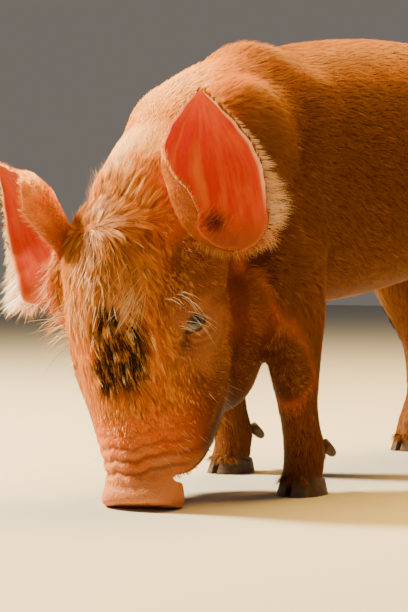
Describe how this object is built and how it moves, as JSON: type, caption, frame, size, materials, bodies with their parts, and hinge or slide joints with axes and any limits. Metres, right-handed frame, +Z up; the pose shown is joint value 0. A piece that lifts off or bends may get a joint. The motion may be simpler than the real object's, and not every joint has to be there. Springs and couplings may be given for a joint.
{
  "type": "tamworth piglet",
  "caption": "Ginger prick-eared piglet standing with its snout lowered to the floor, a still life-size model in parts.",
  "frame": {"origin": "centre of the animal's bounding box, on the floor under it", "axes": "+Z up, +Y towards the tail, +X towards the animal's left side"},
  "size_m": [0.2322, 0.602, 0.321],
  "materials": {
    "coat": "short ginger hair over skin",
    "ear": "thin bare skin inside, short hair outside, pale fringe",
    "snout": "bare moist skin",
    "hoof": "dull horn",
    "eye": "wet gloss"
  },
  "bodies": {
    "root": {"torso": "coat", "neck": "coat", "head": "coat", "snout_disc": "snout", "ear_left": "ear", "ear_right": "ear", "eye_left": "eye", "eye_right": "eye", "tail": "coat", "foreleg_left": "coat", "foreleg_left_claw_outer": "hoof", "foreleg_left_dewclaw_outer": "hoof", "foreleg_left_claw_inner": "hoof", "foreleg_left_dewclaw_inner": "hoof", "foreleg_right": "coat", "foreleg_right_claw_outer": "hoof", "foreleg_right_dewclaw_outer": "hoof", "foreleg_right_claw_inner": "hoof", "foreleg_right_dewclaw_inner": "hoof", "hindleg_left": "coat", "hindleg_left_claw_outer": "hoof", "hindleg_left_dewclaw_outer": "hoof", "hindleg_left_claw_inner": "hoof", "hindleg_left_dewclaw_inner": "hoof", "hindleg_right": "coat", "hindleg_right_claw_outer": "hoof", "hindleg_right_dewclaw_outer": "hoof", "hindleg_right_claw_inner": "hoof", "hindleg_right_dewclaw_inner": "hoof"}
  },
  "joints": []
}
